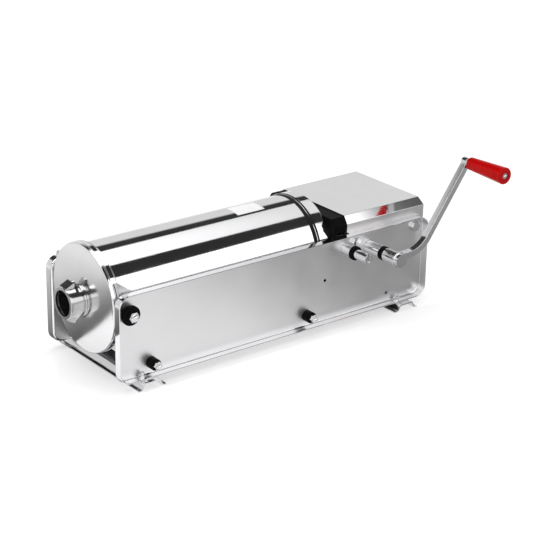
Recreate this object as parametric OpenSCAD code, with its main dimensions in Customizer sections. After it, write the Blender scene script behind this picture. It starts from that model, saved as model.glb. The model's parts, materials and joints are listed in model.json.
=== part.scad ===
// Horizontal sausage stuffer with a two-speed rack drive.
// +X runs along the cylinder towards the drive, -Y is the crank side and +Z is up.
// The origin is on the resting plane, midway between the ends of the side panels.

/* [Side panels] */
// Length of each side panel
panel_length = 530; // [526:1:534]
// Height of each side panel
panel_height = 123; // [122:1:126]
// Thickness of the panel sheet
sheet = 1.5; // [1.2:0.1:1.6]
// Depth of the flange bent outwards round each panel
flange = 12; // [10:1:13]
// Radius of the panel corners
panel_corner_r = 16; // [12:1:18]
// Distance from the middle plane to the outer side of a panel's face
panel_face_y = 77.5; // [77.5:0.1:78]

/* [Feet] */
// Height of the feet
foot_height = 11; // [10:1:13]
// Width of each foot across its lips
foot_width = 43; // [41:1:46]
// Length of each foot across the machine
foot_length = 196; // [194:1:200]
// Distance between the middles of the two feet
foot_spacing = 442; // [438:1:446]
// Radius of the holes that bolt the feet to a bench
bench_hole_r = 2.5; // [2:0.1:2.6]

/* [Cylinder] */
// Outer diameter of the cylinder
tube_od = 142; // [141:0.5:142]
// Wall thickness of the cylinder
tube_wall = 1; // [0.9:0.1:1.2]
// Length of the cylinder
tube_length = 325; // [323:1:327]
// Height of the cylinder's axis above the resting plane
axis_z = 104.5; // [104:0.5:105]
// Radius of the outlet
outlet_r = 17.7; // [17:0.1:18.5]

/* [Plunger] */
// Distance from the lid end of the cylinder to the plunger's front
plunger_depth = 91; // [88:1:95]
// Length of the rack
rack_length = 411; // [405:1:413]

/* [Drive] */
// Teeth on the pinion that drives the rack
rack_pinion_teeth = 14; // [14:1:14]
// Teeth on the large gear
large_gear_teeth = 46; // [46:1:46]
// Teeth on the small gear
small_gear_teeth = 14; // [14:1:14]
// Diameter of the main shaft
main_shaft_d = 14; // [13:0.5:14]

/* [Crank] */
// Horizontal distance from the shaft to the grip
crank_reach_x = 123.7; // [120:0.1:128]
// Vertical distance from the shaft to the grip
crank_reach_z = 118.4; // [114:0.1:122]
// Length of the grip
grip_length = 69; // [65:1:75]
// Radius of the grip at its outer end
grip_r = 12; // [11:0.5:13]

/* [Hidden] */
$fn = 64;
play = 0.05;
gap = 0.3;
thin_gap = 0.5;

// Stations along the machine
left_x = -panel_length / 2;
right_x = panel_length / 2;
panel_z0 = foot_height;
panel_z1 = foot_height + panel_height;
panel_in_y = panel_face_y - sheet;
flange_y = panel_face_y + flange;
tube_r = tube_od / 2;
bore_r = tube_r - tube_wall;
tube_x0 = left_x + 11;
tube_x1 = tube_x0 + tube_length;

// Lid, neck and ring nut
lid_sheet = 1.2;
lid_rim_x = tube_x0 - 9;
lid_skirt = 12.4;
lid_sag = 7;
lid_r = tube_r + 3.4;
lid_inner_r = lid_r - lid_sheet;
lid_bead_r = 0.6;
lid_curve = 2.5;
lid_rings = 14;
gasket_x0 = lid_rim_x + lid_sheet + 1;
gasket_sleeve = 2.5;
neck_r = outlet_r + 1.6;
neck_x0 = lid_rim_x - lid_sag - 20;
nut_x0 = neck_x0 - 4;
wing_half = 8;
nut_front_r = outlet_r + 4.7;
nut_rear_r = outlet_r + 4.5;
nut_length = 17;
nut_lip = 3;
lug_thick = 4;
lug_tip_r = 5;
lug_reach = 24;

// Pivot, tie rods and small fasteners: [x, z]
pivot = [left_x + 19, panel_z0 + 95];
tie_rod_spots = [[left_x + 55, panel_z0 + 17], [right_x - 214, panel_z0 + 17]];
spare_holes = [[right_x - 182, panel_z0 + 61.5], [right_x - 66, panel_z0 + 15]];
spare_hole_r = 2.3;
tie_rod_r = 4;
tie_stud_r = 3;
collar_r = 8;
collar_length = 13;
pivot_stud_r = 4;
pivot_hub_r = 8;
pivot_hub_length = 6;
pivot_washer_r = 13.5;
pivot_washer_thick = 5.5;

// Feet
foot_sheet = 2;
foot_top_width = 24;
foot_hole_dx = -6.5;
foot_bolt_y = panel_face_y + 6;
foot_bolt_r = 2.5;
foot_nut_flats = 8;
bench_hole_y = foot_length / 2 - 4.5;

// Seat ring, bulkhead and cover
seat_gasket_length = 5.5;
seat_groove = 4;
seat_x0 = tube_x1 + seat_gasket_length;
seat_x1 = seat_x0 + 20;
seat_r = tube_r + 1;
bulkhead_x0 = seat_x1 + 3;
cover_x0 = bulkhead_x0 + 22.5;
cover_x1 = right_x + 1;
cover_sheet = 1.2;
cover_top_z = panel_z1 + 24;
cover_bend_z = cover_top_z - 11;
cover_side_y = panel_in_y - 0.2;
cover_top_y = cover_side_y - 7.3;
cover_lip = 4;
cover_end_slope = 5;
cover_bottom_z = 30;

// Shafts and gears
main_x = right_x - 102.7;
main_z = panel_z0 + 94.6;
main_r = main_shaft_d / 2;
rack_module = 2;
gear_module = 1.5;
pressure_angle = 20;
shaft_distance = gear_module * (large_gear_teeth + small_gear_teeth) / 2;
shaft_line_angle = 171;
second_x = main_x + shaft_distance * cos(shaft_line_angle);
second_z = main_z + shaft_distance * sin(shaft_line_angle);
second_r = 5;
shaft_end_r = main_r;
second_neck_r = 6;
pinion_pitch_r = rack_module * rack_pinion_teeth / 2;
short_addendum = 0.8;
backlash = 0.3;
gear_y = [24, 34];
pinion_y = [-9, 9];
plate_thick = 5;
plate_y = panel_in_y - plate_thick;
plate_bolts = [[main_x - 26, main_z + 13.2], [main_x + 85.6, main_z + 13]];
plate_bolt_r = 4;
main_bush_r = 9.5;
second_bush_r = 7;
bush_flange = 3;
main_bush_end = panel_face_y + 29;
second_bush_end = panel_face_y + 18;
main_collar_width = 8;
second_collar_width = 5;
main_shaft_end = panel_face_y + 50.5;
second_shaft_end = panel_face_y + 51;
slot_width = 4.2;
slot_depth = 6;

// Rack, guide and plunger
rack_half_width = 8;
rack_pitch_z = main_z - pinion_pitch_r;
rack_tooth_top = rack_pitch_z + rack_module * short_addendum;
rack_root_z = rack_pitch_z - rack_module * 1.25;
rack_bottom_z = rack_root_z - 14;
rack_x1 = right_x - 3;
rack_x0 = rack_x1 - rack_length;
rack_pitch = PI * rack_module;
rack_teeth_back = 15;
rack_teeth_front = 40;
guide_length = 44;
guide_cheek = 6;
guide_base = 8;
bridge_thick = 10;
guide_screw_r = 2.5;
guide_screw_depth = 6;
plunger_x0 = tube_x0 + plunger_depth;
plunger_thick = rack_x0 - plunger_x0 - 3;
plunger_r = bore_r - 1;
seal_r = bore_r - gap;
backplate_r = 60;
valve_spot = [0, axis_z + 40];
valve_stem_r = 3;
valve_head_r = 7;
plunger_screw_spots = [rack_bottom_z + 3, rack_root_z - 3];
plunger_screw_r = 2;
plunger_screw_head_r = 3.5;

// Crank
hub_x = main_x;
hub_y0 = main_bush_end + gap + main_collar_width + 1.2;
hub_r = 9.8;
hub_plug_r = 6;
pin_y = main_shaft_end - slot_depth / 2 - 0.5;
pin_r = 1.8;
eye_r = 10.3;
eye_rim_r = 11.5;
eye_rim_thick = 3;
end_disc_r = 9.8;
end_disc_thick = 5.5;
arm_width = 9;
arm_thick = 10;
arm_y = panel_face_y + 54;
arm_front = arm_y + arm_thick;
arm_lift = 3.5;
arm_angle = 54.5;
arm_bend_r = 42;
arm_end_r = 6.5;
arm_rise = crank_reach_z - arm_lift - arm_bend_r * (1 - cos(arm_angle));
arm_run = crank_reach_x - arm_rise / tan(arm_angle) - arm_bend_r * sin(arm_angle);
grip_x = hub_x + crank_reach_x;
grip_z = main_z + crank_reach_z;
grip_y0 = arm_front + 3;
grip_shoulder_r = 6;
grip_inner_r = 9;
grip_bolt_r = 3;
grip_head_r = 4.2;

// Helpers: solids that lie along X or Y
module rod_x(x0, x1, r, y = 0, z = axis_z) {
    translate([x0, y, z]) rotate([0, 90, 0]) cylinder(h = x1 - x0, r = r);
}
module rod_y(x, z, y0, y1, r) {
    translate([x, y1, z]) rotate([90, 0, 0]) cylinder(h = y1 - y0, r = r);
}
module ring_x(x0, x1, r_out, r_in) {
    difference() {
        rod_x(x0, x1, r_out);
        rod_x(x0 - 1, x1 + 1, r_in);
    }
}
module plate_xz(y0, y1) {
    translate([0, y1, 0]) rotate([90, 0, 0]) linear_extrude(y1 - y0) children();
}
module plate_yz(x0, x1) {
    translate([x0, 0, 0]) rotate([90, 0, 90]) linear_extrude(x1 - x0) children();
}
module turned_x(x0, points) {
    translate([x0, 0, axis_z]) rotate([0, 90, 0]) rotate_extrude($fn = 96) polygon(points);
}
module both_sides() {
    children();
    mirror([0, 1, 0]) children();
}
module rounded_rectangle(x0, z0, length, height, r) {
    translate([x0 + r, z0]) square([length - 2 * r, height]);
    translate([x0, z0 + r]) square([length, height - 2 * r]);
    for (x = [x0 + r, x0 + length - r], z = [z0 + r, z0 + height - r])
        translate([x, z]) circle(r = r);
}
// Hexagon nut or head with its flats' distance given, standing on y0 and facing -Y
module hex_y(x, z, y0, y1, across_flats) {
    translate([x, y1, z]) rotate([90, 0, 0])
        cylinder(h = y1 - y0, r = across_flats / sqrt(3), $fn = 6);
}
// Domed nut whose seat is at y = -seat, pointing to -Y
module domed_nut(x, z, seat, across_flats, nut_height) {
    dome_r = across_flats * 0.46;
    hex_y(x, z, -seat - nut_height, -seat, across_flats);
    translate([x, -seat - nut_height, z]) sphere(r = dome_r, $fn = 32);
}

// Involute gears, drawn in the XZ plane
function involute_angle(a) = tan(a) * 180 / PI - a;
function tooth_half_angle(r, pitch_r, teeth) =
    90 / teeth - backlash * 45 / (PI * pitch_r) + involute_angle(pressure_angle)
    - involute_angle(acos(min(1, pitch_r * cos(pressure_angle) / r)));
function polar(r, a) = [r * cos(a), r * sin(a)];
function gear_outline(mod, teeth, addendum, phase) =
    let (pitch_r = mod * teeth / 2,
         tip_r = pitch_r + mod * addendum,
         root_r = pitch_r - 1.25 * mod,
         start_r = max(root_r, pitch_r * cos(pressure_angle)),
         radii = [for (i = [0:4]) start_r + (tip_r - start_r) * i / 4])
    [for (k = [0:teeth - 1]) let (mid = phase + 360 * k / teeth) each concat(
        [polar(root_r, mid - tooth_half_angle(start_r, pitch_r, teeth))],
        [for (r = radii) polar(r, mid - tooth_half_angle(r, pitch_r, teeth))],
        [for (i = [4:-1:0]) polar(radii[i], mid + tooth_half_angle(radii[i], pitch_r, teeth))],
        [polar(root_r, mid + tooth_half_angle(start_r, pitch_r, teeth))])];
module gear(x, z, y, mod, teeth, addendum, phase, shaft_r) {
    difference() {
        plate_xz(y[0], y[1]) translate([x, z])
            polygon(gear_outline(mod, teeth, addendum, phase));
        rod_y(x, z, y[0] - 1, y[1] + 1, shaft_r);
    }
}

// Side panels: trays with their flange bent outwards
module side_panel() {
    difference() {
        plate_xz(-flange_y, -panel_in_y)
            rounded_rectangle(left_x, panel_z0, panel_length, panel_height, panel_corner_r);
        plate_xz(-flange_y - 1, -panel_face_y)
            rounded_rectangle(left_x + sheet, panel_z0 + sheet, panel_length - 2 * sheet,
                panel_height - 2 * sheet, panel_corner_r - sheet);
        panel_hole(pivot, pivot_stud_r + 0.2);
        for (spot = tie_rod_spots) panel_hole(spot, tie_stud_r + 0.2);
        for (spot = plate_bolts) panel_hole(spot, plate_bolt_r + 0.2);
        for (spot = spare_holes) panel_hole(spot, spare_hole_r);
        panel_hole([main_x, main_z], main_bush_r + 0.2);
        panel_hole([second_x, second_z], second_bush_r + 0.2);
        for (side = [-1, 1])
            translate([side * foot_spacing / 2 + foot_hole_dx, -foot_bolt_y, panel_z0 - 1])
                cylinder(h = sheet + 2, r = foot_bolt_r + 0.2);
    }
}
module panel_hole(spot, r) {
    rod_y(spot[0], spot[1], -panel_face_y - 1, -panel_in_y + 1, r);
}
module side_panel_front() {
    color("silver") side_panel();
}
module side_panel_rear() {
    color("silver") mirror([0, 1, 0]) side_panel();
}

// Feet: folded channels across the machine, with a bench hole at each end
module foot(middle_x) {
    top = foot_top_width / 2;
    slope = foot_width / 2 - top - 5;
    lip = foot_width / 2;
    color("silver") difference() {
        translate([middle_x, foot_length / 2, 0]) rotate([90, 0, 0]) linear_extrude(foot_length)
            polygon([
                [-lip, 0], [-lip, foot_sheet], [-top - slope, foot_sheet], [-top, foot_height],
                [top, foot_height], [top + slope, foot_sheet], [lip, foot_sheet], [lip, 0],
                [top + slope - 1, 0], [top - 1, foot_height - foot_sheet],
                [-top + 1, foot_height - foot_sheet], [-top - slope + 1, 0]
            ]);
        for (side = [-1, 1]) {
            translate([middle_x + foot_hole_dx, side * bench_hole_y, -1])
                cylinder(h = foot_height + 2, r = bench_hole_r);
            translate([middle_x + foot_hole_dx, side * foot_bolt_y, -1])
                cylinder(h = foot_height + 2, r = foot_bolt_r + 0.2);
        }
    }
}
module foot_outlet_end() {
    foot(-foot_spacing / 2);
}
module foot_drive_end() {
    foot(foot_spacing / 2);
}
module foot_bolt(x) {
    nut_r = foot_nut_flats / sqrt(3);
    translate([x, -foot_bolt_y, 0]) {
        translate([0, 0, foot_height - foot_sheet - 4]) rotate([0, 0, 30])
            cylinder(h = 4, r = nut_r, $fn = 6);
        translate([0, 0, foot_height - foot_sheet - 1])
            cylinder(h = foot_sheet + sheet + 9, r = foot_bolt_r);
        translate([0, 0, panel_z0 + sheet]) rotate([0, 0, 30]) cylinder(h = 4.5, r = nut_r, $fn = 6);
    }
}
module foot_bolts() {
    color("dimgray") both_sides() for (side = [-1, 1])
        foot_bolt(side * foot_spacing / 2 + foot_hole_dx);
}

// Tie rods between the panels, with their spacer collars and domed nuts outside
module tie_rods() {
    color("gray") for (spot = tie_rod_spots) {
        rod_y(spot[0], spot[1], -panel_in_y, panel_in_y, tie_rod_r);
        both_sides()
            rod_y(spot[0], spot[1], -panel_face_y - collar_length - 5, -panel_in_y + 1, tie_stud_r);
    }
}
module tie_rod_collars() {
    color("black") both_sides() for (spot = tie_rod_spots) difference() {
        rod_y(spot[0], spot[1], -panel_face_y - collar_length, -panel_face_y, collar_r);
        rod_y(spot[0], spot[1], -panel_face_y - collar_length - 1, -panel_face_y + 1, tie_stud_r);
    }
}
module tie_rod_nuts() {
    color("silver") both_sides() for (spot = tie_rod_spots) difference() {
        domed_nut(spot[0], spot[1], panel_face_y + collar_length, 10, 5.5);
        rod_y(spot[0], spot[1], -panel_face_y - collar_length - 5, -panel_face_y, tie_stud_r);
    }
}

// Pivots at the outlet end, which carry the cylinder
module pivot_washers() {
    hub = panel_face_y + pivot_hub_length;
    color("black") both_sides() difference() {
        union() {
            rod_y(pivot[0], pivot[1], -hub - 1, -panel_face_y, pivot_hub_r);
            rod_y(pivot[0], pivot[1], -hub - pivot_washer_thick, -hub, pivot_washer_r);
        }
        rod_y(pivot[0], pivot[1], -hub - pivot_washer_thick - 1, -panel_face_y + 1, pivot_stud_r);
    }
}
module pivot_bolts() {
    seat = panel_face_y + pivot_hub_length + pivot_washer_thick;
    color("gray") both_sides()
        rod_y(pivot[0], pivot[1], -seat - 6, -tube_r - 0.2, pivot_stud_r);
}
module pivot_nuts() {
    seat = panel_face_y + pivot_hub_length + pivot_washer_thick;
    color("silver") both_sides() difference() {
        domed_nut(pivot[0], pivot[1], seat, 13, 6.5);
        rod_y(pivot[0], pivot[1], -seat - 6, -seat + 1, pivot_stud_r);
    }
}
module cylinder_brackets() {
    ear = [
        [pivot[0] - 10, pivot[1] - 14], [pivot[0] - 10, pivot[1] + 39], [pivot[0] - 6, pivot[1] + 39],
        [pivot[0] + 15, pivot[1] + 24], [pivot[0] + 15, pivot[1] - 14]
    ];
    color("gray") both_sides() difference() {
        plate_xz(-panel_in_y + thin_gap, -tube_r + 16) polygon(ear);
        rod_x(tube_x0 - 1, tube_x1, tube_r);
        rod_x(lid_rim_x - 1, lid_rim_x + lid_skirt + 0.5, lid_r + lid_bead_r + 0.5);
        rod_y(pivot[0], pivot[1], -panel_in_y - 1, -tube_r, pivot_stud_r);
    }
}

// Cylinder, lid and outlet
module cylinder_tube() {
    color("gainsboro") ring_x(tube_x0, tube_x1, tube_r, bore_r);
}
function lid_x(r) = -lid_sag * (1 - pow(r / lid_r, lid_curve));
module cylinder_lid() {
    outer = [for (i = [0:lid_rings]) let (r = neck_r + (lid_r - neck_r) * i / lid_rings) [r, lid_x(r)]];
    inner = [for (i = [lid_rings:-1:0])
        let (r = neck_r + (lid_inner_r - neck_r) * i / lid_rings) [r, lid_x(r) + lid_sheet]];
    bead = [for (a = [-90:30:90])
        [lid_r + lid_bead_r * cos(a), lid_skirt - lid_bead_r + lid_bead_r * sin(a)]];
    color("gainsboro") turned_x(lid_rim_x, concat(outer, bead, [[lid_inner_r, lid_skirt]], inner));
}
module lid_gasket() {
    color("dimgray") {
        ring_x(gasket_x0, tube_x0, lid_inner_r - 0.1, bore_r - 3);
        ring_x(tube_x0, tube_x0 + gasket_sleeve, lid_inner_r - 0.1, tube_r);
    }
}
module outlet_neck() {
    seam_x = lid_rim_x + lid_x(neck_r);
    color("silver") difference() {
        union() {
            rod_x(neck_x0, seam_x + lid_sheet, neck_r);
            rod_x(seam_x - 2.6, seam_x - 0.1, neck_r + 3);
        }
        rod_x(neck_x0 - 1, seam_x + lid_sheet + 1, outlet_r);
    }
}
// Ring nut with two lugs, which clamps the stuffing nozzle
module ring_nut() {
    lug_x = nut_length - lug_thick;
    color("silver") difference() {
        union() {
            turned_x(nut_x0, [
                [0, 0], [nut_front_r - 0.8, 0], [nut_front_r, 0.8], [nut_front_r, 4],
                [nut_rear_r, lug_x], [nut_rear_r, nut_length], [0, nut_length]
            ]);
            translate([nut_x0 + lug_x, 0, axis_z]) rotate([90, 0, 90]) linear_extrude(lug_thick)
                for (side = [-1, 1]) {
                    translate([0, side * lug_reach]) circle(r = lug_tip_r);
                    polygon([
                        [-nut_rear_r * 0.72, side * nut_rear_r * 0.69],
                        [-lug_tip_r * 0.8, side * (lug_reach + 3)],
                        [lug_tip_r * 0.8, side * (lug_reach + 3)],
                        [nut_rear_r * 0.72, side * nut_rear_r * 0.69]
                    ]);
                }
            plate_xz(-wing_half, wing_half) for (side = [-1, 1]) polygon([
                [nut_x0 + 1, axis_z + side * (nut_front_r - 3)], [nut_x0 + 1, axis_z + side * nut_front_r],
                [nut_x0 + lug_x, axis_z + side * (lug_reach + lug_tip_r - 1)],
                [nut_x0 + lug_x + 1, axis_z + side * (lug_reach + lug_tip_r - 1)],
                [nut_x0 + lug_x + 1, axis_z + side * (nut_front_r - 3)]
            ]);
        }
        rod_x(nut_x0 - 1, nut_x0 + nut_length + 1, outlet_r);
        rod_x(nut_x0 + nut_lip, nut_x0 + nut_length + 1, neck_r + play);
    }
}

// Seat for the cylinder's drive end
module seat_gasket() {
    color("black") {
        ring_x(tube_x1, seat_x0, tube_r + 0.5, bore_r);
        ring_x(seat_x0 + 1, seat_x0 + seat_groove, seat_r + 0.2, seat_r - 1);
    }
}
module seat_ring() {
    color("gainsboro") {
        difference() {
            ring_x(seat_x0, seat_x1, seat_r, bore_r);
            ring_x(seat_x0 + 1, seat_x0 + seat_groove, seat_r + 1, seat_r - 1);
        }
        ring_x(seat_x1, bulkhead_x0, seat_r - 2, bore_r - 3);
    }
}

// Outline of the drive housing, from the given height up; shrink makes the inner outline
module housing_outline(bottom_z, shrink) {
    polygon([
        [-cover_side_y + shrink, bottom_z], [-cover_side_y + shrink, cover_bend_z - shrink * 0.4],
        [-cover_top_y + shrink * 0.7, cover_top_z - shrink],
        [cover_top_y - shrink * 0.7, cover_top_z - shrink],
        [cover_side_y - shrink, cover_bend_z - shrink * 0.4], [cover_side_y - shrink, bottom_z]
    ]);
}
module bulkhead() {
    wall = 3;
    slip = cover_sheet + 0.1;
    color("black") difference() {
        union() {
            plate_yz(bulkhead_x0, bulkhead_x0 + wall) housing_outline(cover_bottom_z, slip);
            difference() {
                plate_yz(bulkhead_x0, cover_x0 + 10) housing_outline(panel_z1 + 1, slip);
                plate_yz(bulkhead_x0 - 1, cover_x0 + 11) housing_outline(panel_z1, slip + wall);
            }
        }
        plate_yz(bulkhead_x0 - 1, bulkhead_x0 + wall + 1)
            translate([-rack_half_width - 5, rack_bottom_z - 5])
                square([2 * rack_half_width + 10, rack_tooth_top - rack_bottom_z + 10]);
    }
}
module drive_cover() {
    sides = [
        [cover_x0, cover_bottom_z], [cover_x1, cover_bottom_z], [cover_x1, cover_bend_z],
        [cover_x1 - cover_end_slope, cover_top_z], [cover_x0, cover_top_z]
    ];
    color("gainsboro") {
        difference() {
            intersection() {
                plate_yz(cover_x0, cover_x1) housing_outline(cover_bottom_z, 0);
                plate_xz(-cover_side_y, cover_side_y) polygon(sides);
            }
            intersection() {
                plate_yz(cover_x0 - 1, cover_x1) housing_outline(cover_bottom_z - 1, cover_sheet);
                translate([-cover_sheet, 0, 0]) plate_xz(-cover_side_y, cover_side_y) polygon([
                    [cover_x0 - 1, cover_bottom_z - 1], [cover_x1, cover_bottom_z - 1],
                    [cover_x1, cover_bend_z], [cover_x1 - cover_end_slope, cover_top_z],
                    [cover_x0 - 1, cover_top_z]
                ]);
            }
            translate([cover_x0 - 1, -cover_side_y - 1, cover_bottom_z - 1])
                cube([cover_x1 - cover_x0 - 9, 2 * cover_side_y + 2, panel_z1 - cover_bottom_z + 1]);
            translate([cover_x1 - 10, -rack_half_width - 5, rack_bottom_z - 5])
                cube([12, 2 * rack_half_width + 10, rack_tooth_top - rack_bottom_z + 10]);
        }
        both_sides() translate([cover_x0, -cover_side_y - cover_lip, panel_z1])
            cube([cover_x1 - cover_x0 - 12, cover_lip + 0.2, cover_sheet]);
    }
}

// Gear plates, bushes and rack guide
module gear_plate() {
    difference() {
        plate_xz(-panel_in_y, -plate_y)
            rounded_rectangle(second_x - 12, 46, cover_x1 - 12 - second_x + 12, panel_z1 - 48, 4);
        for (spot = plate_bolts)
            rod_y(spot[0], spot[1], -panel_in_y - 1, -plate_y + 1, plate_bolt_r);
        rod_y(main_x, main_z, -panel_in_y - 1, -plate_y + 1, main_bush_r);
        rod_y(second_x, second_z, -panel_in_y - 1, -plate_y + 1, second_bush_r);
    }
}
module gear_plate_front() {
    color("gray") gear_plate();
}
module gear_plate_rear() {
    color("gray") mirror([0, 1, 0]) gear_plate();
}
module gear_plate_bolts() {
    color("silver") both_sides() for (spot = plate_bolts) {
        hex_y(spot[0], spot[1], -panel_face_y - 5.5, -panel_face_y, 13);
        rod_y(spot[0], spot[1], -panel_face_y - 1, -plate_y, plate_bolt_r);
    }
}
module bush(x, z, outer_end, outer_r, bore) {
    difference() {
        union() {
            rod_y(x, z, -outer_end, -plate_y, outer_r);
            rod_y(x, z, -plate_y, -plate_y + bush_flange, outer_r + 3);
        }
        rod_y(x, z, -outer_end - 1, -plate_y + bush_flange + 1, bore);
    }
}
module main_bushes() {
    color("silver") {
        bush(main_x, main_z, main_bush_end, main_bush_r, main_r + play);
        mirror([0, 1, 0]) bush(main_x, main_z, panel_face_y + 2, main_bush_r, main_r + play);
    }
}
module second_bushes() {
    color("silver") {
        bush(second_x, second_z, second_bush_end, second_bush_r, second_r + play);
        mirror([0, 1, 0])
            bush(second_x, second_z, panel_face_y + 2, second_bush_r, second_r + play);
    }
}
module guide_bridge() {
    bridge_z1 = rack_bottom_z - gap - guide_base;
    color("gray") difference() {
        translate([main_x - guide_length / 2, -plate_y, bridge_z1 - bridge_thick])
            cube([guide_length, 2 * plate_y, bridge_thick]);
        guide_screw_spots(-bridge_thick - 1) cylinder(h = bridge_thick + 2, r = guide_screw_r);
    }
}
module rack_guide() {
    base_z = rack_bottom_z - gap - guide_base;
    half = rack_half_width + gap + guide_cheek;
    color("ivory") difference() {
        translate([main_x - guide_length / 2, -half, base_z])
            cube([guide_length, 2 * half, guide_base + 12]);
        translate([main_x - guide_length / 2 - 1, -rack_half_width - gap, base_z + guide_base])
            cube([guide_length + 2, 2 * (rack_half_width + gap), 20]);
        guide_screw_spots(-1) cylinder(h = guide_screw_depth + 1, r = guide_screw_r);
    }
}
// Places its children on both screw axes, at a height above the bridge's upper face
module guide_screw_spots(height) {
    for (x = [-14, 14])
        translate([main_x + x, 0, rack_bottom_z - gap - guide_base + height]) children();
}
module guide_screws() {
    color("silver") {
        guide_screw_spots(-bridge_thick - 1)
            cylinder(h = bridge_thick + 1 + guide_screw_depth, r = guide_screw_r);
        guide_screw_spots(-bridge_thick - 3) cylinder(h = 3, r = 4.5);
    }
}

// Plunger, its vent valve and the rack
module plunger_disc() {
    color("ivory") difference() {
        rod_x(plunger_x0, plunger_x0 + plunger_thick, plunger_r);
        ring_x(plunger_x0 + 4, plunger_x0 + plunger_thick - 4, plunger_r + 1, plunger_r - 4);
        plunger_openings(plunger_x0 - 1, plunger_x0 + plunger_thick + 1);
        rod_x(plunger_x0 - 1, plunger_x0 + 3.5, valve_head_r + 0.5, valve_spot[0], valve_spot[1]);
        for (z = plunger_screw_spots)
            rod_x(plunger_x0 - 1, plunger_x0 + 3, plunger_screw_head_r, 0, z);
    }
}
module plunger_openings(x0, x1) {
    rod_x(x0, x1, valve_stem_r + gap, valve_spot[0], valve_spot[1]);
    for (z = plunger_screw_spots) rod_x(x0, x1, plunger_screw_r, 0, z);
}
module plunger_seal() {
    color("dimgray") ring_x(plunger_x0 + 4, plunger_x0 + plunger_thick - 4, seal_r, plunger_r - 4);
}
module plunger_backplate() {
    color("silver") difference() {
        rod_x(rack_x0 - 3, rack_x0, backplate_r);
        plunger_openings(rack_x0 - 4, rack_x0 + 1);
    }
}
module plunger_screws() {
    color("silver") for (z = plunger_screw_spots) {
        rod_x(plunger_x0 + 0.5, plunger_x0 + 3, plunger_screw_head_r, 0, z);
        rod_x(plunger_x0 + 2, rack_x0 + 12, plunger_screw_r, 0, z);
    }
}
module vent_valve() {
    color("silver") {
        rod_x(plunger_x0 + 0.5, plunger_x0 + 2.5, valve_head_r, valve_spot[0], valve_spot[1]);
        rod_x(plunger_x0 + 2, rack_x0 + 6, valve_stem_r, valve_spot[0], valve_spot[1]);
        rod_x(rack_x0 + 5, rack_x0 + 7, valve_stem_r + 2.5, valve_spot[0], valve_spot[1]);
    }
}
module rack() {
    flank = (rack_tooth_top - rack_pitch_z) * tan(pressure_angle);
    foot_flank = (rack_pitch_z - rack_root_z) * tan(pressure_angle);
    half_tooth = rack_pitch / 4 - backlash / 4;
    teeth = [for (k = [-rack_teeth_front:rack_teeth_back - 1])
        let (mid = main_x + (k + 0.5) * rack_pitch) each [
            [mid - half_tooth - foot_flank, rack_root_z], [mid - half_tooth + flank, rack_tooth_top],
            [mid + half_tooth - flank, rack_tooth_top], [mid + half_tooth + foot_flank, rack_root_z]
        ]];
    color("gray") difference() {
        plate_xz(-rack_half_width, rack_half_width) polygon(concat(
            [[rack_x0, rack_bottom_z], [rack_x0, rack_root_z]], teeth,
            [[rack_x1, rack_root_z], [rack_x1, rack_bottom_z]]));
        for (z = plunger_screw_spots) rod_x(rack_x0 - 1, rack_x0 + 12, plunger_screw_r, 0, z);
    }
}

// Main shaft, which carries the pinion and the crank
module slotted_end(x, z, end_y, r) {
    translate([x - slot_width / 2, -end_y - 1, z - r - 1])
        cube([slot_width, slot_depth + 1, 2 * r + 2]);
}
module main_shaft() {
    color("silver") difference() {
        rod_y(main_x, main_z, -main_shaft_end, panel_face_y + 3, main_r);
        slotted_end(main_x, main_z, main_shaft_end, main_r);
    }
}
module shaft_collar() {
    y0 = -main_bush_end - gap - main_collar_width;
    color("black") difference() {
        rod_y(main_x, main_z, y0, y0 + main_collar_width, main_bush_r + 0.5);
        rod_y(main_x, main_z, y0 - 1, y0 + main_collar_width + 1, main_r);
    }
}
module rack_pinion() {
    color("gray") gear(main_x, main_z, pinion_y, rack_module, rack_pinion_teeth, 0.9, -90, main_r);
}
module large_gear() {
    color("gray") gear(main_x, main_z, gear_y, gear_module, large_gear_teeth, short_addendum,
        shaft_line_angle, main_r);
}
module circlip(x, z, r) {
    y0 = plate_y - bush_flange - gap - 1.5;
    color("dimgray") difference() {
        rod_y(x, z, y0, y0 + 1.5, r + 2.5);
        rod_y(x, z, y0 - 1, y0 + 3, r);
    }
}
module main_circlip() {
    circlip(main_x, main_z, main_r);
}

// Second shaft, whose end takes the crank for the slow speed
module second_shaft() {
    end_y0 = second_bush_end + gap;
    collar_y0 = end_y0 + 1 + second_collar_width;
    color("silver") difference() {
        union() {
            rod_y(second_x, second_z, -end_y0 - 1, panel_face_y + 3, second_r);
            rod_y(second_x, second_z, -collar_y0, -end_y0, second_neck_r);
            rod_y(second_x, second_z, -second_shaft_end, -collar_y0, shaft_end_r);
        }
        slotted_end(second_x, second_z, second_shaft_end, shaft_end_r);
    }
}
module second_collar() {
    y1 = -second_bush_end - gap - 1;
    color("black") difference() {
        rod_y(second_x, second_z, y1 - second_collar_width, y1, main_bush_r + 0.5);
        rod_y(second_x, second_z, y1 - second_collar_width - 1, y1 + 1, second_neck_r);
    }
}
module small_gear() {
    color("gray") gear(second_x, second_z, gear_y, gear_module, small_gear_teeth, 1,
        shaft_line_angle + 180 + 180 / small_gear_teeth, second_r);
}
module second_circlip() {
    circlip(second_x, second_z, second_r);
}

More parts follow.
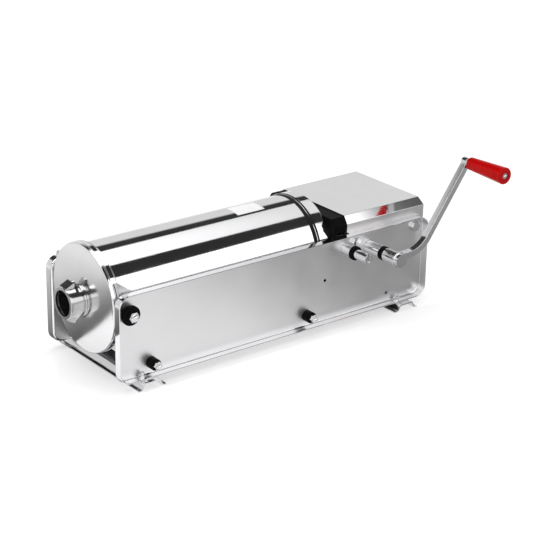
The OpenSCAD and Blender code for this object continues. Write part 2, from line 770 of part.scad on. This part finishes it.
// Crank
module crank_hub() {
    color("silver") difference() {
        union() {
            rod_y(hub_x, main_z, -arm_y, -hub_y0, hub_r);
            rod_y(hub_x, main_z, -arm_front - 1, -arm_y + 1, hub_plug_r);
            rod_y(hub_x, main_z, -arm_front - end_disc_thick, -arm_front, end_disc_r);
        }
        rod_y(hub_x, main_z, -main_shaft_end - 1, -hub_y0 + 1, main_r + play);
        crank_pin_bar();
    }
}
module crank_pin_bar() {
    translate([hub_x, -pin_y, main_z - hub_r + 0.5]) cylinder(h = 2 * hub_r - 1, r = pin_r);
}
module crank_pin() {
    color("dimgray") crank_pin_bar();
}
function arc(centre, r, from, to, steps) =
    [for (i = [0:steps]) centre + polar(r, from + (to - from) * i / steps)];
module crank_arm() {
    half = arm_width / 2;
    bend = [arm_run, arm_lift + arm_bend_r];
    bend_end = arm_angle - 90;
    outline = concat(
        [[0, arm_lift - half]], arc(bend, arm_bend_r + half, -90, bend_end, 12),
        arc([crank_reach_x, crank_reach_z], half, bend_end, bend_end + 180, 10),
        arc(bend, arm_bend_r - half, bend_end, -90, 12), [[0, arm_lift + half]]);
    color("silver") difference() {
        union() {
            plate_xz(-arm_front, -arm_y) translate([hub_x, main_z]) polygon(outline);
            rod_y(hub_x, main_z, -arm_front, -arm_y, eye_r);
            rod_y(hub_x, main_z, -arm_front, -arm_front + eye_rim_thick, eye_rim_r);
            rod_y(grip_x, grip_z, -arm_front, -arm_y, arm_end_r);
        }
        rod_y(hub_x, main_z, -arm_front - 1, -arm_y + 1, hub_plug_r);
        rod_y(grip_x, grip_z, -arm_front - 1, -arm_y + 1, grip_bolt_r);
    }
}
module grip_bolt() {
    grip_y1 = grip_y0 + grip_length;
    color("silver") {
        rod_y(grip_x, grip_z, -grip_y1 + 3, -arm_y, grip_bolt_r);
        rod_y(grip_x, grip_z, -grip_y0 + gap, -arm_front, grip_shoulder_r);
        rod_y(grip_x, grip_z, -grip_y1 + 1, -grip_y1 + 3.5, grip_head_r);
        translate([grip_x, -grip_y1 + 2, grip_z]) sphere(r = grip_head_r - 1.2, $fn = 32);
    }
}
module grip() {
    round_r = 2.5;
    profile = concat(
        [[grip_bolt_r + play, 0], [grip_inner_r - 1, 0], [grip_inner_r, 1]],
        [for (a = [0:15:90]) [grip_r - round_r + round_r * cos(a), grip_length - round_r + round_r * sin(a)]],
        [[grip_head_r + 0.8, grip_length], [grip_head_r + 0.8, grip_length - 3.5 - gap],
         [grip_bolt_r + play, grip_length - 3.5 - gap]]);
    color("red") translate([grip_x, -grip_y0, grip_z]) rotate([90, 0, 0])
        rotate_extrude($fn = 96) polygon(profile);
}

side_panel_front();
side_panel_rear();
foot_outlet_end();
foot_drive_end();
foot_bolts();
tie_rods();
tie_rod_collars();
tie_rod_nuts();
pivot_washers();
pivot_bolts();
pivot_nuts();
cylinder_brackets();
cylinder_tube();
cylinder_lid();
lid_gasket();
outlet_neck();
ring_nut();
seat_gasket();
seat_ring();
bulkhead();
drive_cover();
gear_plate_front();
gear_plate_rear();
gear_plate_bolts();
main_bushes();
second_bushes();
guide_bridge();
rack_guide();
guide_screws();
plunger_disc();
plunger_seal();
plunger_backplate();
plunger_screws();
vent_valve();
rack();
main_shaft();
shaft_collar();
rack_pinion();
large_gear();
main_circlip();
second_shaft();
second_collar();
small_gear();
second_circlip();
crank_hub();
crank_pin();
crank_arm();
grip_bolt();
grip();
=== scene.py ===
# Horizontal sausage stuffer: restyled CAD frame, plain studio, camera at the product-shot angle.
import json
import math

import bmesh
import bpy
from mathutils import Matrix, Vector


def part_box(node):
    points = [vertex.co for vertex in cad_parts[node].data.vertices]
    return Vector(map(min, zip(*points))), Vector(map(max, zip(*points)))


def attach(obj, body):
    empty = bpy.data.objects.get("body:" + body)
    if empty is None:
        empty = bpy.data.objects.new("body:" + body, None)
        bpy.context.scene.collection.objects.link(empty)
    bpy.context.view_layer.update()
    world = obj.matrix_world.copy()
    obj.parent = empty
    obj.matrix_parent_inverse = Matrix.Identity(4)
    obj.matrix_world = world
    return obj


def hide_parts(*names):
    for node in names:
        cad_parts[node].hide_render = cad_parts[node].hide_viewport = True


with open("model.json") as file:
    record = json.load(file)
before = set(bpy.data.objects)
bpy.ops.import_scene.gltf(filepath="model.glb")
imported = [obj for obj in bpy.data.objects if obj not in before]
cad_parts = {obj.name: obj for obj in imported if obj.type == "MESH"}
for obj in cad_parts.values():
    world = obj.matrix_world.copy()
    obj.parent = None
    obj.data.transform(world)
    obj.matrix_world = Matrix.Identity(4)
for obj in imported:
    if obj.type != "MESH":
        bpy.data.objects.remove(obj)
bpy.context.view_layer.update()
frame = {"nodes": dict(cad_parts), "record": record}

nodes = frame["nodes"]
record = frame["record"]
BODY_OF = {n: body for body, members in record["behaviour"]["bodies"].items() for n in members}
SLOT_OF = {part["node"]: part["material_slot"] for part in record["subparts"]}
MM = 0.001
SMOOTH_ANGLE = math.radians(32)
WELD_DISTANCE = 0.002 * MM
BROKEN_EDGE = 0.25 * MM


# ---------------------------------------------------------------- materials

def node_material(name):
    material = bpy.data.materials.new(name)
    material.use_nodes = True
    tree = material.node_tree
    return material, tree, tree.nodes["Principled BSDF"]


def noise(tree, scale, detail=2.0, stretch=(1, 1, 1), roughness=0.5):
    """Noise in the machine's own coordinates; stretch divides the scale along an axis."""
    place = tree.nodes.new("ShaderNodeTexCoord")
    mapping = tree.nodes.new("ShaderNodeMapping")
    mapping.inputs["Scale"].default_value = [1 / s for s in stretch]
    texture = tree.nodes.new("ShaderNodeTexNoise")
    texture.inputs["Scale"].default_value = scale
    texture.inputs["Detail"].default_value = detail
    texture.inputs["Roughness"].default_value = roughness
    tree.links.new(place.outputs["Object"], mapping.inputs["Vector"])
    tree.links.new(mapping.outputs["Vector"], texture.inputs["Vector"])
    return texture.outputs["Fac"]


def ramp(tree, factor, stops):
    """Colour ramp; each stop is (position, grey level) or (position, (r, g, b))."""
    node = tree.nodes.new("ShaderNodeValToRGB")
    elements = node.color_ramp.elements
    while len(elements) < len(stops):
        elements.new(0.5)
    for element, (position, level) in zip(elements, stops):
        element.position = position
        rgb = level if isinstance(level, tuple) else (level, level, level)
        element.color = (*rgb, 1)
    tree.links.new(factor, node.inputs["Fac"])
    return node.outputs["Color"]


def spread(tree, factor, low, high):
    """Maps the middle of a noise to the range low to high."""
    node = tree.nodes.new("ShaderNodeMapRange")
    node.inputs["From Min"].default_value = 0.3
    node.inputs["From Max"].default_value = 0.7
    node.inputs["To Min"].default_value = low
    node.inputs["To Max"].default_value = high
    tree.links.new(factor, node.inputs["Value"])
    return node.outputs["Result"]


def bumps(tree, bsdf, layers):
    """Chains bump nodes; each layer is (height output, depth in metres)."""
    normal = None
    for height, depth in layers:
        node = tree.nodes.new("ShaderNodeBump")
        node.inputs["Strength"].default_value = 1
        node.inputs["Distance"].default_value = depth
        tree.links.new(height, node.inputs["Height"])
        if normal:
            tree.links.new(normal, node.inputs["Normal"])
        normal = node.outputs["Normal"]
    tree.links.new(normal, bsdf.inputs["Normal"])


def metal(name, colour, dark, rough, grain, grain_scale, stretch=(1, 1, 1), waves=0.0):
    """Metal with clouded colour, uneven polish, grain along one axis and slow waves."""
    material, tree, bsdf = node_material(name)
    bsdf.inputs["Metallic"].default_value = 1
    clouds = noise(tree, 22, 3)
    tree.links.new(ramp(tree, clouds, [(0.3, dark), (0.7, colour)]), bsdf.inputs["Base Color"])
    lines = noise(tree, grain_scale, 2, stretch)
    polish = tree.nodes.new("ShaderNodeMath")
    polish.operation = "ADD"
    tree.links.new(spread(tree, clouds, rough[0], rough[1]), polish.inputs[0])
    tree.links.new(spread(tree, lines, 0, (rough[1] - rough[0]) * 0.6), polish.inputs[1])
    tree.links.new(polish.outputs[0], bsdf.inputs["Roughness"])
    layers = [(lines, grain)]
    if waves:
        layers.append((noise(tree, 7, 1), waves))
    bumps(tree, bsdf, layers)
    return material


def polished_steel():
    return metal("polished_steel", (0.83, 0.83, 0.84), (0.80, 0.80, 0.81), rough=(0.05, 0.08),
                 grain=0.0000008, grain_scale=700, stretch=(30, 1, 1), waves=0.00006)


def satin_steel():
    return metal("satin_steel", (0.80, 0.80, 0.81), (0.77, 0.77, 0.78), rough=(0.30, 0.38),
                 grain=0.0000008, grain_scale=700, stretch=(30, 1, 1))


def spun_steel():
    return metal("spun_steel", (0.82, 0.82, 0.83), (0.79, 0.79, 0.80), rough=(0.13, 0.17),
                 grain=0.0000008, grain_scale=700)


def foot_steel():
    return metal("foot_steel", (0.78, 0.78, 0.79), (0.72, 0.72, 0.73), rough=(0.12, 0.20),
                 grain=0.000003, grain_scale=900, stretch=(1, 25, 1), waves=0.0001)


def machined_steel():
    return metal("machined_steel", (0.62, 0.62, 0.63), (0.50, 0.50, 0.51), rough=(0.22, 0.34),
                 grain=0.00001, grain_scale=1500, stretch=(1, 1, 12))


def plated_steel():
    return metal("plated_steel", (0.80, 0.80, 0.81), (0.72, 0.72, 0.73), rough=(0.07, 0.14),
                 grain=0.000003, grain_scale=1100)


def nickel_brass():
    return metal("nickel_brass", (0.66, 0.66, 0.66), (0.54, 0.54, 0.54), rough=(0.07, 0.15),
                 grain=0.00002, grain_scale=420)


def spring_steel():
    return metal("spring_steel", (0.16, 0.16, 0.17), (0.08, 0.08, 0.09), rough=(0.3, 0.45),
                 grain=0.00001, grain_scale=1500)


def moulded(name, colour, dark, rough, grain, coat=0.0, gloss=0.5):
    """Moulded plastic or rubber with a fine skin texture and uneven gloss."""
    material, tree, bsdf = node_material(name)
    clouds = noise(tree, 45, 3)
    tree.links.new(ramp(tree, clouds, [(0.3, dark), (0.7, colour)]), bsdf.inputs["Base Color"])
    tree.links.new(spread(tree, noise(tree, 300, 2), *rough), bsdf.inputs["Roughness"])
    bsdf.inputs["Specular IOR Level"].default_value = gloss
    bsdf.inputs["Coat Weight"].default_value = coat
    bsdf.inputs["Coat Roughness"].default_value = 0.06
    bumps(tree, bsdf, [(noise(tree, 1600, 2), grain)])
    return material


def black_plastic():
    return moulded("black_plastic", (0.003, 0.003, 0.003), (0.0015, 0.0015, 0.0015),
                   rough=(0.4, 0.55), grain=0.00002, gloss=0.05)


def food_plastic():
    return moulded("food_plastic", (0.86, 0.85, 0.82), (0.78, 0.77, 0.73),
                   rough=(0.3, 0.45), grain=0.00001)


def seal_rubber():
    return moulded("seal_rubber", (0.012, 0.012, 0.012), (0.006, 0.006, 0.006),
                   rough=(0.5, 0.7), grain=0.00003, gloss=0.15)


def red_plastic():
    return moulded("red_plastic", (0.50, 0.001, 0.001), (0.43, 0.001, 0.001),
                   rough=(0.2, 0.28), grain=0.00001, coat=0.03, gloss=0.1)


def label_paper():
    return moulded("label_paper", (0.95, 0.95, 0.94), (0.92, 0.92, 0.92),
                   rough=(0.35, 0.5), grain=0.00001)


SATIN = satin_steel()
SPUN = spun_steel()
MATERIALS = {maker.__name__: maker() for maker in (
    polished_steel, foot_steel, machined_steel, plated_steel, nickel_brass, spring_steel,
    black_plastic, food_plastic, seal_rubber, red_plastic)}


# ---------------------------------------------------------------- mesh helpers

def new_piece(name, mesh, node, material=None, replaced=True):
    """A piece that rides on a CAD node's body and takes its finish from the node's slot."""
    piece = bpy.data.objects.new(name, mesh)
    bpy.context.scene.collection.objects.link(piece)
    mesh.materials.clear()
    mesh.materials.append(material or MATERIALS[SLOT_OF[node]])
    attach(piece, BODY_OF[node])
    if replaced:
        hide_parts(node)
    return piece


def shaded(mesh):
    """Smooth shading that breaks at real corners."""
    for polygon in mesh.polygons:
        polygon.use_smooth = True
    mesh.set_sharp_from_angle(angle=SMOOTH_ANGLE)


def weighted_normals(piece):
    modifier = piece.modifiers.new("flat_faces", "WEIGHTED_NORMAL")
    modifier.keep_sharp = True
    modifier.weight = 80


def mesh_from(bm, name):
    mesh = bpy.data.meshes.new(name)
    bmesh.ops.recalc_face_normals(bm, faces=bm.faces)
    bm.to_mesh(mesh)
    bm.free()
    shaded(mesh)
    return mesh


def refinished(piece, material=SATIN, axis=1, limit=0.999):
    """Gives faces that look along an axis a duller finish; folds and rims stay polished."""
    piece.data.materials.append(material)
    for polygon in piece.data.polygons:
        if abs(polygon.normal[axis]) > limit:
            polygon.material_index = 1


def edge_angle(edge):
    return math.degrees(edge.calc_face_angle(0)) if len(edge.link_faces) == 2 else 0


def broken_edges(node, name, edge, folds, fold_axis):
    """A copy of a CAD node with its sheet folds rounded and its sharp edges broken."""
    fold_low, fold_high, sharp_angle = 20, 80, 33
    coplanar_angle = math.radians(0.4)
    bm = bmesh.new()
    bm.from_mesh(nodes[node].data)
    bmesh.ops.remove_doubles(bm, verts=bm.verts, dist=WELD_DISTANCE)
    bmesh.ops.dissolve_limit(bm, angle_limit=coplanar_angle, verts=bm.verts, edges=bm.edges)
    if folds:
        chosen = [e for e in bm.edges if fold_low < edge_angle(e) < fold_high
                  and abs((e.verts[1].co - e.verts[0].co).normalized()[fold_axis]) > 0.999]
        bmesh.ops.bevel(bm, geom=chosen, offset=folds, segments=4, profile=0.5, affect="EDGES",
                        clamp_overlap=True)
    sharp = [e for e in bm.edges if edge_angle(e) > sharp_angle]
    bmesh.ops.bevel(bm, geom=sharp, offset=edge, segments=2, profile=0.5, affect="EDGES",
                    clamp_overlap=True)
    piece = new_piece(name, mesh_from(bm, name), node)
    weighted_normals(piece)
    return piece


# ---------------------------------------------------------------- folded side panels

FOLD_INNER_R = 1.8 * MM
PANEL_CORNER_R = 16 * MM
CORNER_STEPS = 10
FOLD_STEPS = 5


def rounded_loop(lo, hi, inset):
    """Points (x, z) round the panel's outline, moved inwards by inset."""
    r = max(PANEL_CORNER_R - inset, 0.3 * MM)
    x0, x1, z0, z1 = lo.x + inset, hi.x - inset, lo.z + inset, hi.z - inset
    centres = [(x1 - r, z1 - r, 0), (x0 + r, z1 - r, 90),
               (x0 + r, z0 + r, 180), (x1 - r, z0 + r, 270)]
    return [(cx + r * math.cos(math.radians(start + 90 * i / CORNER_STEPS)),
             cz + r * math.sin(math.radians(start + 90 * i / CORNER_STEPS)))
            for cx, cz, start in centres for i in range(CORNER_STEPS + 1)]


def tray_profile(face, lip, thick):
    """(inset, distance from the middle plane) from the front of the face round to its back."""
    outer_r = FOLD_INNER_R + thick
    turns = [math.pi / 2 * i / FOLD_STEPS for i in range(FOLD_STEPS + 1)]
    inside = [(outer_r - FOLD_INNER_R * math.sin(a), face + FOLD_INNER_R * (1 - math.cos(a)))
              for a in turns]
    outside = [(outer_r * (1 - math.cos(a)), face - thick + outer_r * (1 - math.sin(a)))
               for a in turns]
    edge = thick * 0.25
    rim = [(thick, lip - edge), (thick - edge, lip), (edge, lip), (0, lip - edge)]
    return inside + rim + outside


def side_panel(node, name, side):
    """A tray of sheet steel: flat face, rounded fold and a flange all round."""
    lo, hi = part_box(node)
    sheet = 1.5 * MM
    lip, back = max(abs(lo.y), abs(hi.y)), min(abs(lo.y), abs(hi.y))
    bm = bmesh.new()
    rings = []
    for inset, distance in tray_profile(back + sheet, lip, sheet):
        outline = rounded_loop(lo, hi, inset)
        rings.append([bm.verts.new((x, side * distance, z)) for x, z in outline])
    for first, second in zip(rings, rings[1:]):
        for i in range(len(first)):
            j = (i + 1) % len(first)
            bm.faces.new((first[i], first[j], second[j], second[i]))
    bm.faces.new(rings[0])
    bm.faces.new(rings[-1])
    piece = new_piece(name, mesh_from(bm, name), node)
    drill(piece, node)
    refinished(piece)
    weighted_normals(piece)
    return piece


def round_holes(node):
    """(middle, radius) of the CAD node's own small round holes through its face, from its rims."""
    margin, longest_step, fewest_points = 2 * MM, 2.5 * MM, 16
    same_plane = 0.01 * MM
    bm = bmesh.new()
    bm.from_mesh(nodes[node].data)
    bmesh.ops.remove_doubles(bm, verts=bm.verts, dist=WELD_DISTANCE)
    lo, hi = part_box(node)
    back = min((lo.y, hi.y), key=abs)
    rims = [v for v in bm.verts if abs(v.co.y - back) < same_plane]
    inner = {v for v in rims if lo.x + margin < v.co.x < hi.x - margin
             and lo.z + margin < v.co.z < hi.z - margin}
    holes = []
    while inner:
        queue, group = [inner.pop()], []
        while queue:
            vert = queue.pop()
            group.append(vert.co.copy())
            for edge in vert.link_edges:
                other = edge.other_vert(vert)
                if other in inner and (other.co - vert.co).length < longest_step:
                    inner.discard(other)
                    queue.append(other)
        middle = sum(group, Vector()) / len(group)
        radius = sum((p - middle).length for p in group) / len(group)
        if len(group) > fewest_points:
            holes.append((middle, radius))
    bm.free()
    return holes


def drill(piece, node):
    """Cuts the CAD node's holes through the piece."""
    cutter_depth = 12 * MM
    turn = Matrix.Rotation(math.pi / 2, 4, "X")
    cutter = bmesh.new()
    for middle, radius in round_holes(node):
        bmesh.ops.create_cone(cutter, cap_ends=True, segments=48, radius1=radius, radius2=radius,
                              depth=cutter_depth, matrix=Matrix.Translation(middle) @ turn)
    mesh = bpy.data.meshes.new("cutter")
    cutter.to_mesh(mesh)
    cutter.free()
    tool = bpy.data.objects.new("cutter", mesh)
    bpy.context.scene.collection.objects.link(tool)
    cut = piece.modifiers.new("holes", "BOOLEAN")
    cut.operation = "DIFFERENCE"
    cut.solver = "EXACT"
    cut.object = tool
    bpy.context.view_layer.update()
    graph = bpy.context.evaluated_depsgraph_get()
    result = bpy.data.meshes.new_from_object(piece.evaluated_get(graph))
    piece.modifiers.clear()
    old, piece.data = piece.data, result
    bpy.data.meshes.remove(old)
    bpy.data.objects.remove(tool)
    shaded(result)


# ---------------------------------------------------------------- turned parts

TURNED_SEGMENTS = 192


def turned_x(name, node, profile):
    """A solid turned about the cylinder's axis; profile is a loop of (x, radius)."""
    lo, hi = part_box(node)
    axis_z = (lo.z + hi.z) / 2
    bm = bmesh.new()
    turns = [2 * math.pi * i / TURNED_SEGMENTS for i in range(TURNED_SEGMENTS)]
    rings = []
    for x, radius in profile:
        rings.append([bm.verts.new((x, radius * math.sin(a), axis_z + radius * math.cos(a)))
                      for a in turns])
    for first, second in zip(rings, rings[1:] + rings[:1]):
        for i in range(TURNED_SEGMENTS):
            j = (i + 1) % TURNED_SEGMENTS
            bm.faces.new((first[i], first[j], second[j], second[i]))
    return new_piece(name, mesh_from(bm, name), node)


def cylinder_tube():
    lo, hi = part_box("cylinder_tube")
    outer = (hi.z - lo.z) / 2
    sheet = 1 * MM
    inner = outer - sheet
    edge = 0.3 * MM
    profile = [(lo.x, inner + edge), (lo.x, outer - edge), (lo.x + edge, outer),
               (hi.x - edge, outer), (hi.x, outer - edge), (hi.x, inner + edge),
               (hi.x - edge, inner), (lo.x + edge, inner)]
    return turned_x("cylinder_shell", "cylinder_tube", profile)


def cylinder_lid():
    """Spun lid: shallow dome, rolled rim and a skirt with a ridge and an end bead."""
    lo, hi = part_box("cylinder_lid")
    neck_lo, neck_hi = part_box("outlet_neck")
    tube_lo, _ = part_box("cylinder_tube")
    sheet = 1.2 * MM
    bead = 0.6 * MM
    skirt_r = (hi.z - lo.z) / 2 - bead
    inner_r = skirt_r - sheet
    neck_overlap = 3 * MM
    neck_r = (neck_hi.z - neck_lo.z) / 2 - neck_overlap
    rim_x = tube_lo.x - 9 * MM
    sag, sag_power = 7 * MM, 2.5
    roll = 2.2 * MM
    dome_r = skirt_r - roll
    ridge_gap, ridge_half, ridge_height = 3.4 * MM, 1.1 * MM, 0.5 * MM
    rim_gap, dome_gap = 1.5 * MM, 0.1 * MM
    dome_rings, roll_steps, ridge_steps, bead_steps = 24, 6, 6, 8
    radii = [neck_r + (dome_r - neck_r) * i / dome_rings for i in range(dome_rings + 1)]
    dome = [(rim_x - sag * (1 - (r / skirt_r) ** sag_power), r) for r in radii]
    crown_x = dome[-1][0]
    rim = [(crown_x + roll * (1 - math.cos(a)), dome_r + roll * math.sin(a))
           for a in (math.pi / 2 * i / roll_steps for i in range(1, roll_steps + 1))]
    ridge = [(crown_x + ridge_gap + ridge_half * (1 - math.cos(a)),
              skirt_r + ridge_height * math.sin(a))
             for a in (math.pi * i / ridge_steps for i in range(ridge_steps + 1))]
    bead_x = hi.x - 2 * bead
    end_bead = [(bead_x + bead * (1 - math.cos(a)), skirt_r + bead * math.sin(a))
                for a in (math.pi * i / bead_steps for i in range(bead_steps + 1))]
    inside = [(hi.x, inner_r), (rim_x + rim_gap, inner_r)]
    inner_dome = [(x + sheet, r - dome_gap) for x, r in reversed(dome)]
    profile = dome + rim + ridge + end_bead + inside + inner_dome
    lid = turned_x("lid_shell", "cylinder_lid", profile)
    refinished(lid, SPUN, axis=0, limit=0.9)
    return lid


# ---------------------------------------------------------------- label

def tube_label():
    """A blank label stuck to the top of the cylinder."""
    lo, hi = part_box("cylinder_tube")
    lift, paper = 0.12 * MM, 0.1 * MM
    radius = (hi.z - lo.z) / 2 + lift
    axis_z = (hi.z + lo.z) / 2
    x0, x1 = -24 * MM, 22 * MM
    first_angle, last_angle = 76.5, 99.5
    columns, rows = 12, 16
    bm = bmesh.new()
    grid = []
    for i in range(columns + 1):
        line = []
        for j in range(rows + 1):
            angle = math.radians(first_angle + (last_angle - first_angle) * j / rows)
            line.append(bm.verts.new((x0 + (x1 - x0) * i / columns, -radius * math.cos(angle),
                                      axis_z + radius * math.sin(angle))))
        grid.append(line)
    for i in range(columns):
        for j in range(rows):
            bm.faces.new((grid[i][j], grid[i + 1][j], grid[i + 1][j + 1], grid[i][j + 1]))
    mesh = mesh_from(bm, "blank_label")
    piece = new_piece("blank_label", mesh, "cylinder_tube", label_paper(), replaced=False)
    solid = piece.modifiers.new("paper", "SOLIDIFY")
    solid.thickness = paper
    solid.offset = -1
    return piece


# ---------------------------------------------------------------- studio

def emissive(name, colour, strength):
    material = bpy.data.materials.new(name)
    material.use_nodes = True
    tree = material.node_tree
    tree.nodes.clear()
    output = tree.nodes.new("ShaderNodeOutputMaterial")
    glow = tree.nodes.new("ShaderNodeEmission")
    glow.inputs["Color"].default_value = (*colour, 1)
    glow.inputs["Strength"].default_value = strength
    tree.links.new(glow.outputs[0], output.inputs["Surface"])
    return material, tree, glow


def graded(material_parts, axis, stops, low, high):
    """Grades an emission along one of the scene's axes, between two positions."""
    material, tree, glow = material_parts
    place = tree.nodes.new("ShaderNodeTexCoord")
    split = tree.nodes.new("ShaderNodeSeparateXYZ")
    span = tree.nodes.new("ShaderNodeMapRange")
    span.inputs["From Min"].default_value = low
    span.inputs["From Max"].default_value = high
    tree.links.new(place.outputs["Object"], split.inputs[0])
    tree.links.new(split.outputs[axis], span.inputs["Value"])
    tree.links.new(ramp(tree, span.outputs["Result"], stops), glow.inputs["Color"])
    return material


def card(name, corners, material, seen_by=("glossy",)):
    """A flat studio card or softbox, hidden from the camera."""
    mesh = bpy.data.meshes.new(name)
    mesh.from_pydata(corners, [], [(0, 1, 2, 3)])
    mesh.materials.append(material)
    obj = bpy.data.objects.new(name, mesh)
    bpy.context.scene.collection.objects.link(obj)
    obj.visible_camera = False
    obj.visible_shadow = False
    obj.visible_glossy = "glossy" in seen_by
    obj.visible_diffuse = "diffuse" in seen_by
    obj.visible_transmission = False
    return obj


def level(x0, x1, y0, y1, z):
    """Corners of a level rectangle."""
    return [(x0, y0, z), (x1, y0, z), (x1, y1, z), (x0, y1, z)]


def overhead_softbox():
    """A softbox over the machine, dimmer toward the drive end."""
    softbox = graded(emissive("overhead_softbox", (1, 1, 1), 2.6), 0,
                     [(0, 1.0), (0.35, 0.75), (0.6, 0.35), (1, 0.25)], -1.5, 3.5)
    card("overhead_softbox", level(-2.5, 4.0, -0.42, 1.15, 2.1), softbox, ("glossy", "diffuse"))


def front_card():
    """A leaning card in front, which goes dark toward the drive end."""
    front = graded(emissive("front_card", (1, 1, 1), 1.6), 0,
                   [(0, 1.0), (0.905, 1.0), (0.93, 0.4), (0.955, 0.08), (1, 0.06)], -1.2, 1.2)
    card("front_card", [(-1.6, -1.0, 0.32), (1.3, -1.0, 0.32),
                        (1.3, -0.78, 1.25), (-1.6, -1.25, 0.95)], front)


def floor_cards():
    """What the steel reflects of the floor: in front, dimming toward the drive end; behind, with
    painted shade darkening it near the machine; and under the machine, a dark card of painted
    shade.
    """
    half, z = 3, 0.001
    in_front = graded(emissive("floor_front", (1, 1, 1), 1.0), 0,
                      [(0, 1.0), (0.35, 0.92), (0.62, 0.35), (0.8, 0.27), (1, 0.35)], -0.3, 0.5)
    card("floor_front", [(-half, -0.1, z), (-half, -half, z), (half, -half, z), (half, -0.1, z)],
         in_front)
    # Painted shade: the floor behind is darkest next to the machine and brightens away from it.
    behind = graded(emissive("floor_back", (1, 1, 1), 1.0), 1,
                    [(0, 0.10), (0.07, 0.35), (0.2, 0.75), (0.45, 0.95)], 0.07, 1.6)
    card("floor_back", level(-half, half, 0.07, half, z), behind)
    # Painted shade: a dark card stands for the machine's shadow on the floor under it.
    shade = emissive("floor_shade", (0.01, 0.01, 0.01), 1.0)[0]
    card("floor_shade", level(-0.26, 0.26, -0.07, 0.07, 0.002), shade)


def floor_lamp():
    """A lamp that lights the floor and is not reflected in the steel."""
    lamp = emissive("floor_lamp", (1, 1, 1), 1.6)[0]
    card("floor_lamp", level(-1.6, 1.6, -1.4, 1.4, 2.6), lamp, ("diffuse",))


def studio_floor():
    """A round pale floor with a soft sheen."""
    material, tree, bsdf = node_material("studio_floor")
    tone = ramp(tree, noise(tree, 3, 2), [(0.3, 0.60), (0.7, 0.63)])
    tree.links.new(tone, bsdf.inputs["Base Color"])
    bsdf.inputs["Roughness"].default_value = 0.16
    bsdf.inputs["Emission Color"].default_value = (1, 1, 1, 1)
    bsdf.inputs["Emission Strength"].default_value = 0.55
    mesh = bpy.data.meshes.new("studio_floor")
    bm = bmesh.new()
    bmesh.ops.create_circle(bm, cap_ends=True, segments=96, radius=9)
    bm.to_mesh(mesh)
    bm.free()
    mesh.materials.append(material)
    floor = bpy.data.objects.new("studio_floor", mesh)
    bpy.context.scene.collection.objects.link(floor)


def studio_walls():
    """A world that is bright to about 30 degrees above the horizon and dark overhead."""
    world = bpy.data.worlds.new("studio")
    world.use_nodes = True
    bpy.context.scene.world = world
    tree = world.node_tree
    place = tree.nodes.new("ShaderNodeTexCoord")
    split = tree.nodes.new("ShaderNodeSeparateXYZ")
    tree.links.new(place.outputs["Generated"], split.inputs[0])
    walls = ramp(tree, split.outputs[2], [(0, 0.75), (0.5, 0.8), (0.555, 0.04), (1, 0.02)])
    background = tree.nodes["Background"]
    tree.links.new(walls, background.inputs["Color"])
    background.inputs["Strength"].default_value = 1.0


def camera():
    """The product shot's viewpoint: distance, bearing and lens fitted to the panels and feet."""
    place = (-1.3319, -1.7457, 0.9717)
    yaw, pitch, roll = (math.radians(a) for a in (38.4767, 22.2041, 1.1520))
    forward = Vector((math.sin(yaw) * math.cos(pitch), math.cos(yaw) * math.cos(pitch),
                      -math.sin(pitch)))
    sideways = Vector((math.cos(yaw), -math.sin(yaw), 0))
    upright = sideways.cross(forward)
    right = sideways * math.cos(roll) + upright * math.sin(roll)
    up = upright * math.cos(roll) - sideways * math.sin(roll)
    data = bpy.data.cameras.new("camera")
    data.sensor_width = 36
    data.lens = 111.02
    data.clip_end = 100
    obj = bpy.data.objects.new("camera", data)
    bpy.context.scene.collection.objects.link(obj)
    axes = Matrix((right, up, -forward)).transposed().to_4x4()
    obj.matrix_world = Matrix.Translation(place) @ axes
    bpy.context.scene.camera = obj


# ---------------------------------------------------------------- build

HAND_BUILT = {"side_panel_front", "side_panel_rear", "cylinder_tube", "cylinder_lid"}
# node: (radius of its folds, axis they run along)
FOLDED = {"drive_cover": (1.6 * MM, 0), "foot_outlet_end": (1.5 * MM, 1),
          "foot_drive_end": (1.5 * MM, 1)}
# node: width of its broken edges, where it is not BROKEN_EDGE
EDGE = {"crank_arm": 1.1 * MM, "bulkhead": 0.6 * MM, "ring_nut": 0.5 * MM, "outlet_neck": 0.4 * MM,
        "pivot_washers": 0.8 * MM, "tie_rod_collars": 0.8 * MM, "gear_plate_bolts": 0.5 * MM,
        "crank_hub": 0.5 * MM, "drive_cover": 0.3 * MM, "main_bushes": 0.5 * MM,
        "second_bushes": 0.5 * MM, "main_shaft": 0.5 * MM, "second_shaft": 0.5 * MM}

side_panel("side_panel_front", "panel_front", -1)
side_panel("side_panel_rear", "panel_rear", 1)
cylinder_tube()
cylinder_lid()
tube_label()
for node in sorted(set(nodes) - HAND_BUILT):
    fold, fold_axis = FOLDED.get(node, (0, None))
    edge = EDGE.get(node, BROKEN_EDGE)
    finished = broken_edges(node, "finished_" + node, edge, fold, fold_axis)
    if node == "drive_cover":
        refinished(finished)
overhead_softbox()
front_card()
floor_cards()
floor_lamp()
studio_floor()
studio_walls()
camera()
scene = bpy.context.scene
scene.view_settings.view_transform = "Standard"
scene.view_settings.look = "None"
